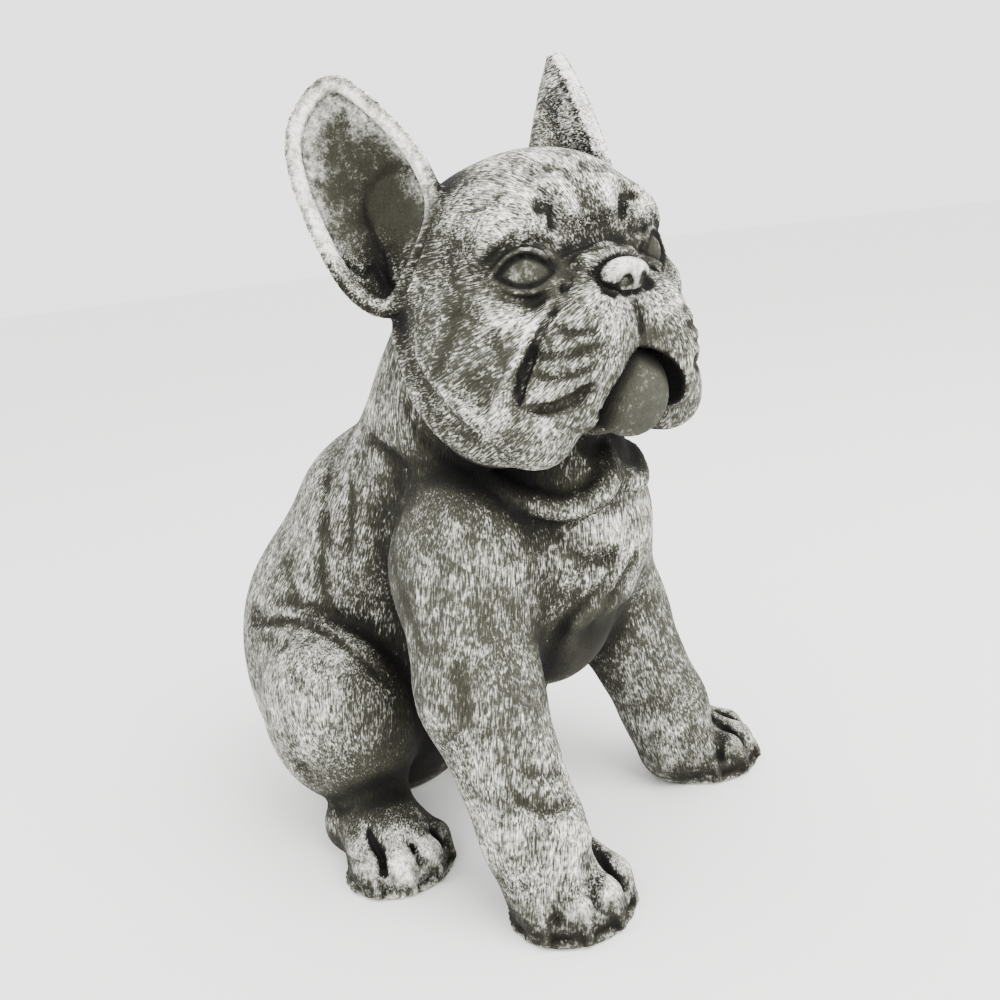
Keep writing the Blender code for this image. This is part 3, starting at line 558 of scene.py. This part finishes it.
def settle(points):
    slope = slopeOf(points, 0.15)
    move = cast(points) / np.maximum((slope * slope).sum(1), 0.05)
    return points - slope * np.clip(move, -1, 1)[:, None]


def laidOn(path, place=(0, 0, 0), turn=(0, 0, 0)):
    own = curveThrough(path, steps=3)
    points = own @ turnMatrix(turn).T + np.array(place, real)
    for turns in range(5):
        points = settle(points)
    return seenFrom(points, place, turn)


def unit(vectors):
    return vectors / np.maximum(np.linalg.norm(vectors, axis=-1, keepdims=True), 1e-6)


def blob(points, centre, radii):
    return np.exp(-(((points - np.array(centre, real)) / np.array(radii, real)) ** 2).sum(1))


def smooth(value, low, high):
    t = np.clip((value - low) / (high - low), 0, 1)
    return t * t * (3 - 2 * t)


# how the coat lies, where the brush left its tone, and where shade is painted into hollows and creases
coat = {
    "headReach": 10,         # mm, from the head's coat to the neck's
    "skull": (60, 62, 56),   # mm, the round form that the head's coat lies on
    "lieFlat": 0.85,         # 1 lays the strokes flat on it
    "fullGroove": 1.5,       # mm, a groove this deep gets the whole painted shade of a crease and loses the brushing
}
brushing = {   # place on the head's own axes, reach, how much more or less of the pale brushing it got
    "brow": ((30, -50, 27), (24, 16, 12), 0.20),
    "forehead": ((10, -46, 46), (34, 26, 16), 0.16),
    "muzzle": ((10, -70, -12), (26, 16, 12), 0.16),
    "nose": ((0, -76, 1), (11, 9, 5), 0.30),
    "muzzleSide": ((28, -62, -4), (9, 9, 9), -0.16),
    "eyeball": ((34, -58, 6), (9, 6, 6), -0.14),
    "cheek": ((56, -26, -18), (20, 24, 24), -0.24),
    "flew": ((34, -54, -60), (24, 22, 16), -0.14),
    "chin": ((0, -58, -54), (17, 18, 24), -0.50),
    "underEye": ((50, -46, -10), (12, 9, 7), 0.26),
    "jowlRidge": ((60, -30, -50), (12, 14, 12), 0.12),
}
bodyBrushing = {
    "neck": ((-46, -20, 200), (26, 34, 26), -0.30),
    "throat": ((0, -66, 196), (44, 30, 14), -0.22),
    "chest": ((2, -90, 164), (34, 22, 26), 0.10),
    "brisket": ((0, -66, 112), (28, 24, 20), -0.75),
    "shoulder": ((-76, -20, 150), (26, 40, 36), -0.24),
    "nearLegTop": ((-62, -60, 110), (34, 36, 30), -0.18),
    "nearLegLow": ((-66, -72, 60), (30, 30, 30), 0.12),
    "thigh": ((-88, 62, 82), (26, 44, 34), 0.10),
    "thighLow": ((-82, 40, 44), (26, 30, 14), -0.16),
    "belly": ((-30, 20, 50), (50, 40, 36), -0.6),
    "nearPaw": ((-62, -98, 24), (34, 30, 16), 0.22),
    "hindPaw": ((-80, -4, 22), (34, 30, 16), 0.46),
    "farPaw": ((98, -88, 20), (34, 30, 14), 0.10),
    "farLeg": ((76, -60, 80), (30, 40, 50), -0.25),
    "flank": ((-62, 74, 126), (22, 44, 22), 0.10),
    "back": ((-50, 110, 150), (40, 60, 50), -0.06),
}


def coatOf(points):
    q = seenFrom(points, headPlace, headTurn)
    half = q.copy()
    half[:, 0] = np.abs(half[:, 0])
    onHead = smooth(torso(points) - headShape(q, half), -coat["headReach"], coat["headReach"])
    # on the head the coat runs out from between the eyes and the nose, back over the cheeks and skull
    out = unit(half - np.array((0, -62, -2), real))
    out[:, 2] -= 0.25 * smooth(half[:, 2], 20, -40)
    out[:, 1] += 0.35
    out[:, 0] *= np.sign(q[:, 0])
    outward = unit(q / np.array(coat["skull"], real) ** 2)
    out -= coat["lieFlat"] * (out * outward).sum(1)[:, None] * outward
    headFlow = unit(out) @ turnMatrix(headTurn).T
    # on the body it hangs down, back along the spine, and forward over the thigh
    bodyFlow = np.zeros_like(points)
    bodyFlow[:, 2] = -1
    bodyFlow[:, 0] = 0.25 * np.clip(points[:, 0] / 60, -1, 1)
    bodyFlow[:, 1] = 0.5 * smooth(points[:, 1], -20, 60) * smooth(points[:, 2], 90, 150)
    bodyFlow[:, 1] -= 0.5 * smooth(points[:, 1], 10, 60) * smooth(points[:, 2], 120, 60)
    flow = bodyFlow + (headFlow - bodyFlow) * onHead[:, None]
    return unit(flow), onHead, q, half


def headShape(q, half):
    d = egg(half, (0, 2, 20), (53, 54, 45))
    d = melt(d, egg(half, (38, -12, -14), (29, 42, 38)), 14)
    return melt(d, egg(half, (20, -50, -35), (36, 40, 40)), 14)


def hairiness(points, half, inBowl):
    bare = blob(half, (31, -50, 7), (18, 14, 11)) * 1.3        # eyes and lids
    bare += blob(half, (0, -76, -5), (12, 9, 8)) * 1.3         # nose
    bare += blob(half, (0, -64, -50), (15, 16, 20)) * 1.2      # chin
    bare += blob(points, (0, -68, 112), (24, 26, 15))          # brisket
    bare += 0.7 * inBowl
    bare += 0.55 * smooth(points[:, 2], 30, 12)
    return np.clip(1 - bare, 0, 1)


# how open the surface is along its normal: it sets the painted shade in hollows and keeps the brush out of
# them
def openness(points, normals):
    shut = np.zeros(len(points), real)
    for reach, share in ((1.4, 0.16), (3, 0.2), (7, 0.2), (15, 0.24), (30, 0.2)):
        clear = inBatches(cast, points + normals * reach) / reach
        shut += share * np.clip(1 - clear, 0, 1)
    return 1 - shut


headShadeShift = {   # places where the painted shade stays darker or lighter than their depth makes it
    "nose": ((0, -73, -3), (14, 9, 12), 0.12),
    "innerEye": ((25, -60, -2), (7, 7, 7), 0.15),
    "besideTheMuzzle": ((47, -50, -32), (12, 12, 20), 0.20),
    "overTheFlew": ((40, -56, -48), (16, 12, 8), 0.12),
}
bodyShadeShift = {   # the same on the figure's axes; belly paints the shadow under the body, brisket darkens the brisket under the chest
    "hindPaw": ((-80, -4, 14), (30, 26, 16), 0.14),
    "brisket": ((0, -66, 112), (32, 26, 22), -0.28),
    "belly": ((0, 12, 48), (70, 44, 44), -0.36),
    "underJowl": ((-20, -60, 205), (50, 30, 12), 0.07),
}


def pressedIn(points, half):
    depth = fineFolds(np.zeros(len(points), real), half, laidLines["face"])
    return fineFolds(depth, points, laidLines["body"]) / coat["fullGroove"]


def bowlOf(q):
    found = np.zeros(len(q), real)
    for side, root, turn, lift in ears:
        wall, bowl = ear(q * np.array((side, 1, 1), real), root, turn, lift)
        found += smooth(bowl, 2.2, 0.4) * smooth(q[:, 2], 24, 50)
    return found


def brushOf(points, normals, q, half, onHead, inBowl):
    brush = np.full(len(points), -0.04, real)
    for centre, radii, amount in brushing.values():
        brush += amount * blob(half, centre, radii) * onHead
    for centre, radii, amount in bodyBrushing.values():
        brush += amount * blob(points, centre, radii)
    brush -= 0.08 * smooth(points[:, 2], 6, 1)
    thin = smooth(inBatches(cast, points - normals * 6.5), -4.5, 0) * smooth(q[:, 2], 20, 45)
    nearRim = np.zeros(len(points), real)
    for side, root, turn, lift in ears:
        t = seenFrom(q * np.array((side, 1, 1), real), root, turn)
        nearRim += smooth(t[:, 1], 13, 2) * (np.abs(t[:, 0] - 12) < 40) * (np.abs(t[:, 1]) < 22)
    return brush + (0.3 + 0.25 * nearRim) * thin - 0.42 * inBowl * (1 - 0.6 * nearRim)


def divide(corners, faces, wanted):
    mesh = bpy.data.meshes.new("rough skin")
    mesh.from_pydata(corners.tolist(), [], faces)
    work = bmesh.new()
    work.from_mesh(mesh)
    bpy.data.meshes.remove(mesh)
    middles = np.array([face.calc_center_median() for face in work.faces], real)
    rows = np.nonzero(wanted(middles))[0]
    work.faces.ensure_lookup_table()
    edges = {edge for row in rows for edge in work.faces[row].edges}
    bmesh.ops.subdivide_edges(work, edges=list(edges), cuts=1, use_grid_fill=True, use_single_edge=True)
    corners = np.array([corner.co for corner in work.verts], real)
    faces = [[corner.index for corner in face.verts] for face in work.faces]
    work.free()
    return corners, faces


def isIn(points, centre, radii):
    away = (points - np.array(centre, real)) / np.array(radii, real)
    return (away * away).sum(1) < 1


def onFaceAndPaws(points):
    q = seenFrom(points, headPlace, headTurn)
    half = q * np.where(q[:, :1] < 0, -1, 1) * (1, 0, 0) + q * (0, 1, 1)
    found = isIn(half, (16, -50, -16), (48, 34, 56))
    for side, root, turn, lift in ears:
        t = seenFrom(q * np.array((side, 1, 1), real), root, turn)
        found |= isIn(t, (10, 6, 60), (38, 20, 60))
    for place in (nearPaw, farPaw, nearHindPaw, farHindPaw):
        found |= isIn(points, (place[0], place[1] - 14, 12), (36, 30, 30))
    return found


def onEyesAndNose(points):
    q = seenFrom(points, headPlace, headTurn)
    half = q * np.where(q[:, :1] < 0, -1, 1) * (1, 0, 0) + q * (0, 1, 1)
    return isIn(half, (34, -51, 6), (17, 13, 13)) | isIn(half, (0, -72, -3), (16, 12, 12))


laidFace = []
for path, width, depth in faceLines.values():
    nearSide = [(-x, y, z) for x, y, z in path]
    laidFace.append((laidOn(nearSide, headPlace, headTurn) * np.array((-1, 1, 1), real), width, depth))
laidBody = [(laidOn(path), width, depth) for path, width, depth in bodyLines.values()]
laidLines["face"], laidLines["body"] = laidFace, laidBody
step = figure["grid"]
lowCorner, highCorner = np.array((-112, -140, -10)), np.array((134, 184, 406))
corners, faces = skinOf(sampleField(step, lowCorner, highCorner), step, lowCorner)
corners = inBatches(settle, corners)
print("rough skin drawn:", len(corners), "corners", flush=True)
faces = faces.tolist()
for wanted in (onFaceAndPaws, onEyesAndNose):
    corners, faces = divide(corners, faces, wanted)
for settling in range(2):
    corners = inBatches(settle, corners)
print("skin drawn:", len(corners), "corners", sum(len(face) - 2 for face in faces), "triangles", flush=True)
normals = unit(inBatches(slopeOf, corners))
flow, onHead, q, half = coatOf(corners)
inBowl = bowlOf(q)
hairy = hairiness(corners, half, inBowl)
crease = pressedIn(corners, half)
# the carved lines: painted shade in their grooves, where the brush also misses, and more brushing on their
# ridges
groove, ridge = np.clip(crease, 0, 1) ** 2, np.clip(-crease, 0, 1)
# painted shade from the openness: darker in hollows, creases and under the body, lighter in the ear bowls
# and near the ground
opened = openness(corners, normals) + 0.18 * inBowl - 0.17 * groove
opened += 0.34 * smooth(corners[:, 2], 9, 2)
for centre, radii, amount in headShadeShift.values():
    opened += amount * blob(half, centre, radii) * onHead
for centre, radii, amount in bodyShadeShift.values():
    opened += amount * blob(corners, centre, radii)
brush = brushOf(corners, normals, q, half, onHead, inBowl) - 0.36 * groove + 0.2 * ridge
print("coat and brushing laid", flush=True)

placed = corners.astype(float)
placed[:, 2] = np.maximum(placed[:, 2], 0)
placed[:, :2] -= figure["middle"]
placed *= figure["scale"]
skin = bpy.data.meshes.new("bulldogSkin")
skin.from_pydata(placed.tolist(), [], faces)
skin.shade_smooth()
skin.update()


def putOnPoints(mesh, name, values):
    kind = "FLOAT" if values.ndim == 1 else "FLOAT_VECTOR"
    layer = mesh.attributes.new(name, kind, "POINT")
    layer.data.foreach_set("value" if values.ndim == 1 else "vector", values.astype(real).ravel())


putOnPoints(skin, "furFlow", flow)
putOnPoints(skin, "hairy", hairy)
putOnPoints(skin, "openness", opened)
putOnPoints(skin, "brush", brush)
bulldog = bpy.data.objects.new("bulldog_cast", skin)
bpy.context.scene.collection.objects.link(bulldog)


# finishes
def fromHex(code):
    parts = [int(code[i:i + 2], 16) / 255 for i in (1, 3, 5)]
    return tuple(c / 12.92 if c <= 0.04045 else ((c + 0.055) / 1.055) ** 2.4 for c in parts) + (1,)


def addNode(tree, kind, settings, inputs):   # an input's value is either a link or a number or colour
    node = tree.nodes.new(kind)
    for name, value in settings.items():
        setattr(node, name, value)
    for socket, value in inputs.items():
        if isinstance(value, bpy.types.NodeSocket):
            tree.links.new(value, node.inputs[socket])
        else:
            node.inputs[socket].default_value = value
    return node


# cast concrete, stained dark and dry brushed: matt and gritty, pale only on what stands up, with painted
# shade in its hollows and under the body
castConcrete = {
    # the two darkest colours are painted shade for hollows, stroke grooves and the shadow under the body;
    # ground and open are the stone's dark coat
    "shadowBlack": "#030201", "dark": "#15130c", "ground": "#2e2d24", "open": "#42423a", "brushed": "#f1efe6",
    "strokeWidth": 0.7,      # mm
    "strokeLength": 5.5,     # mm
    "strokeDepth": 0.8,      # mm
    "patch": 12,             # mm, where the brush pressed harder or missed
    "speck": 2.6,            # mm, breaks in the brushing
    "grit": 0.9,             # mm, drawn coarser than the sand's 0.4 so that it shows
    "strokeGain": 0.75,
    "tuft": 14,              # mm, hairs that were cut with one lie
    "tuftShift": (90, 90, 90),
    "brushedBy": {"strokes": 2.3, "patch": 0.9, "speck": 1.0, "grit": 0.5, "openness": 1.3},
    "brushGain": 1.15, "brushStart": 0.31, "brushEdge": 1.8,
    # the openness term paints shade into hollows; strokes, grit and patches vary the dark coat
    "shadeAndStainBy": {"openness": 1.7, "strokes": 0.9, "grit": 0.5, "patch": 0.5},
    "shadeAndStainStart": 0.74,
    "shadeAndStainStops": {"shadowBlack": 0.0, "dark": 0.3, "ground": 0.62, "open": 1.0},
    "plainOpenness": 0.94,   # a surface with nothing near it
    "gritDepth": 0.3,        # mm
    "roughness": 0.86,
    "ior": 1.5,
    "specular": 0.2,         # dusty, so hardly any shine
}


def castConcreteFinish(s):
    mm = figure["scale"]
    material = bpy.data.materials.new("cast concrete, dry brushed")
    material.use_nodes = True
    tree = material.node_tree
    tree.nodes.clear()
    place = addNode(tree, "ShaderNodeTexCoord", {}, {}).outputs["Object"]
    found = {}
    for name in ("furFlow", "hairy", "openness", "brush"):
        found[name] = addNode(tree, "ShaderNodeAttribute", {"attribute_name": name}, {}).outputs
    # a fine grain drawn out along the coat, tuft by tuft
    flow = found["furFlow"]["Vector"]
    tuft = addNode(tree, "ShaderNodeTexVoronoi", {}, {"Vector": place, "Scale": 1 / (s["tuft"] * mm)})
    away = addNode(tree, "ShaderNodeVectorMath", {"operation": "SUBTRACT"},
                   {0: place, 1: tuft.outputs["Position"]})
    along = addNode(tree, "ShaderNodeVectorMath", {"operation": "DOT_PRODUCT"},
                    {0: away.outputs["Vector"], 1: flow})
    pull = addNode(tree, "ShaderNodeMath", {"operation": "MULTIPLY"},
                   {0: along.outputs["Value"], 1: (1 / s["strokeLength"] - 1 / s["strokeWidth"]) / mm})
    drawn = addNode(tree, "ShaderNodeVectorMath", {"operation": "SCALE"},
                    {0: flow, "Scale": pull.outputs[0]})
    fine = addNode(tree, "ShaderNodeVectorMath", {"operation": "SCALE"},
                   {0: away.outputs["Vector"], "Scale": 1 / (s["strokeWidth"] * mm)})
    spot = addNode(tree, "ShaderNodeVectorMath", {"operation": "ADD"},
                   {0: fine.outputs[0], 1: drawn.outputs[0]})
    spot = addNode(tree, "ShaderNodeVectorMath", {"operation": "MULTIPLY_ADD"},
                   {0: tuft.outputs["Color"], 1: s["tuftShift"], 2: spot.outputs[0]})
    strokes = addNode(tree, "ShaderNodeTexNoise", {}, {"Vector": spot.outputs[0], "Scale": 1, "Detail": 1})
    level = addNode(tree, "ShaderNodeMath", {"operation": "MULTIPLY_ADD"},
                    {0: strokes.outputs["Fac"], 1: s["strokeGain"], 2: -0.5 * s["strokeGain"]})
    combed = addNode(tree, "ShaderNodeMath", {"operation": "MULTIPLY"},
                     {0: level.outputs[0], 1: found["hairy"]["Fac"]})
    opened = addNode(tree, "ShaderNodeMath", {"operation": "SUBTRACT"},
                     {0: found["openness"]["Fac"], 1: s["plainOpenness"]})
    causes = {"strokes": combed.outputs[0], "openness": opened.outputs[0]}
    for name, roughness in (("patch", 0.6), ("speck", 0.6), ("grit", 0.7)):
        texture = addNode(tree, "ShaderNodeTexNoise", {},
                          {"Vector": place, "Scale": 1 / (s[name] * mm), "Detail": 2,
                           "Roughness": roughness})
        level = addNode(tree, "ShaderNodeMath", {"operation": "SUBTRACT"},
                        {0: texture.outputs["Fac"], 1: 0.5})
        causes[name] = level.outputs[0]
    # the brush catches the ridges, less where it was drier and in the hollows
    caught = found["brush"]["Fac"]
    for name, weight in s["brushedBy"].items():
        caught = addNode(tree, "ShaderNodeMath", {"operation": "MULTIPLY_ADD"},
                         {0: causes[name], 1: weight, 2: caught}).outputs[0]
    caught = addNode(tree, "ShaderNodeMath", {"operation": "MULTIPLY_ADD", "use_clamp": True},
                     {0: caught, 1: s["brushGain"], 2: s["brushStart"]})
    caught = addNode(tree, "ShaderNodeMath", {"operation": "POWER"},
                     {0: caught.outputs[0], 1: s["brushEdge"]})
    # painted shade darkens the hollows and grooves by their openness, to near black under the body;
    # strokes, grit and patches vary the dark coat
    shadeAndStain = s["shadeAndStainStart"]
    for name, weight in s["shadeAndStainBy"].items():
        shadeAndStain = addNode(tree, "ShaderNodeMath", {"operation": "MULTIPLY_ADD"},
                        {0: causes[name], 1: weight, 2: shadeAndStain}).outputs[0]
    ramp = addNode(tree, "ShaderNodeValToRGB", {}, {"Fac": shadeAndStain})
    stops = ramp.color_ramp.elements
    stops.remove(stops[1])
    for name, at in s["shadeAndStainStops"].items():
        stop = stops[0] if at == 0 else stops.new(at)
        stop.position = at
        stop.color = fromHex(s[name])
    colour = addNode(tree, "ShaderNodeMix", {"data_type": "RGBA"},
                     {0: caught.outputs[0], 6: ramp.outputs["Color"], 7: fromHex(s["brushed"])})
    gritBump = addNode(tree, "ShaderNodeBump", {},
                       {"Strength": 0.5, "Distance": s["gritDepth"] * mm, "Height": causes["grit"]})
    strokeBump = addNode(tree, "ShaderNodeBump", {},
                         {"Strength": 1.0, "Distance": s["strokeDepth"] * mm, "Height": causes["strokes"],
                          "Normal": gritBump.outputs["Normal"]})
    shader = addNode(tree, "ShaderNodeBsdfPrincipled", {},
                     {"Base Color": colour.outputs[2], "Roughness": s["roughness"], "IOR": s["ior"],
                      "Specular IOR Level": s["specular"], "Normal": strokeBump.outputs["Normal"]})
    addNode(tree, "ShaderNodeOutputMaterial", {}, {"Surface": shader.outputs[0]})
    return material


skin.materials.append(castConcreteFinish(castConcrete))
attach(bulldog, "root")
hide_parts("bulldog_statue")
print("finish made", flush=True)


# pale floor, soft light and the camera of the picture
studio = {
    "floorColour": "#f4f4f2",
    "floorSize": 40,
    "worldStrength": 2.6,
    "keySize": 1.6,
    "keyPower": 75,
    "keyPlace": (-0.2, -1.5, 1.7),
    "fillSize": 2.0,
    "fillPower": 10,
    "fillPlace": (-1.6, -0.4, 0.8),
    "lens": 37.8,
}
cameraAxes = {   # millimetres on the figure's axes
    "place": (-396.5, -345.8, 305.2),
    "right": (0.614, -0.781, -0.117),
    "up": (0.258, 0.058, 0.965),
    "back": (-0.746, -0.622, 0.237),
}


def plainMaterial(name, code, roughness):
    material = bpy.data.materials.new(name)
    material.use_nodes = True
    shader = material.node_tree.nodes["Principled BSDF"]
    shader.inputs["Base Color"].default_value = fromHex(code)
    shader.inputs["Roughness"].default_value = roughness
    return material


def setStudio(s):
    half = s["floorSize"] / 2
    ground = bpy.data.meshes.new("floor")
    corners = [(-half, -half, 0), (half, -half, 0), (half, half, 0), (-half, half, 0)]
    ground.from_pydata(corners, [], [(0, 1, 2, 3)])
    ground.materials.append(plainMaterial("matt white paper", s["floorColour"], 0.9))
    floor = bpy.data.objects.new("floor", ground)
    bpy.context.scene.collection.objects.link(floor)
    world = bpy.data.worlds.new("soft room")
    bpy.context.scene.world = world
    world.use_nodes = True
    world.node_tree.nodes["Background"].inputs["Color"].default_value = (1, 1, 1, 1)
    world.node_tree.nodes["Background"].inputs["Strength"].default_value = s["worldStrength"]
    for name in ("key", "fill"):
        lamp = bpy.data.lights.new(name, "AREA")
        lamp.size = s[name + "Size"]
        lamp.energy = s[name + "Power"]
        light = bpy.data.objects.new(name, lamp)
        light.location = s[name + "Place"]
        aim = Vector((0, 0, 0.2)) - light.location
        light.rotation_euler = aim.to_track_quat("-Z", "Y").to_euler()
        bpy.context.scene.collection.objects.link(light)


def setCamera(axes, lens):
    data = bpy.data.cameras.new("camera")
    data.lens = lens
    data.sensor_width = 36
    data.clip_start = 0.01
    camera = bpy.data.objects.new("camera", data)
    x, y, z = axes["place"]
    spot = Vector((x - figure["middle"][0], y - figure["middle"][1], z)) * figure["scale"]
    right, up, back = axes["right"], axes["up"], axes["back"]
    turn = Matrix(((right[0], up[0], back[0]), (right[1], up[1], back[1]), (right[2], up[2], back[2])))
    camera.matrix_world = Matrix.Translation(spot) @ turn.to_4x4()
    bpy.context.scene.collection.objects.link(camera)
    bpy.context.scene.camera = camera


setStudio(studio)
setCamera(cameraAxes, studio["lens"])
print("studio set", flush=True)
